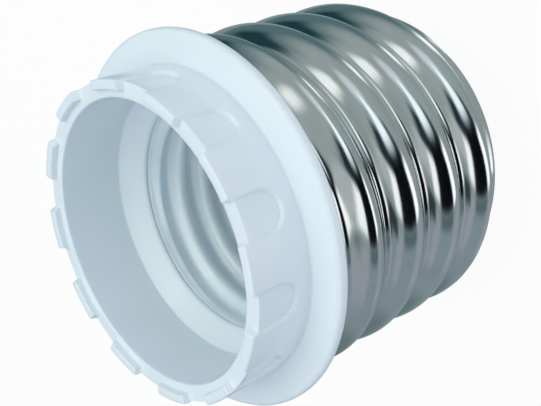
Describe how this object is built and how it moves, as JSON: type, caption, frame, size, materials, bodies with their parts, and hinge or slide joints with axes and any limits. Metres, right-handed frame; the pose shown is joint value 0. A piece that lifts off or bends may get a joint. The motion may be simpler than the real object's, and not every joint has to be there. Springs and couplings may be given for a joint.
{
  "type": "lamp socket adapter",
  "caption": "Screw-in lamp socket adapter: white holder with a castellated collar and flange, large threaded metal shell outside, small threaded socket inside.",
  "frame": {"origin": "middle of the end contact's outer face, on the screw axis", "axes": "+Z along the screw axis, out of the mouth; +X towards the strip's rivet"},
  "size_m": [0.0424, 0.0424, 0.0473],
  "materials": {
    "white_moulding": "glossy",
    "nickel_sheet": "bright nickel plate",
    "inner_sheet": "satin",
    "insulation": "matt",
    "contact_brass": "bright",
    "end_plate": "tinned"
  },
  "bodies": {
    "root": {"holder_body": "white_moulding", "outer_screw_shell": "nickel_sheet", "inner_screw_shell": "inner_sheet", "contact_base": "insulation", "centre_contact_tongue": "contact_brass", "tongue_rivet": "contact_brass", "shell_contact_strip": "contact_brass", "strip_rivet": "contact_brass", "end_insulator": "insulation", "end_contact": "end_plate", "centre_lead": "contact_brass"}
  },
  "joints": []
}
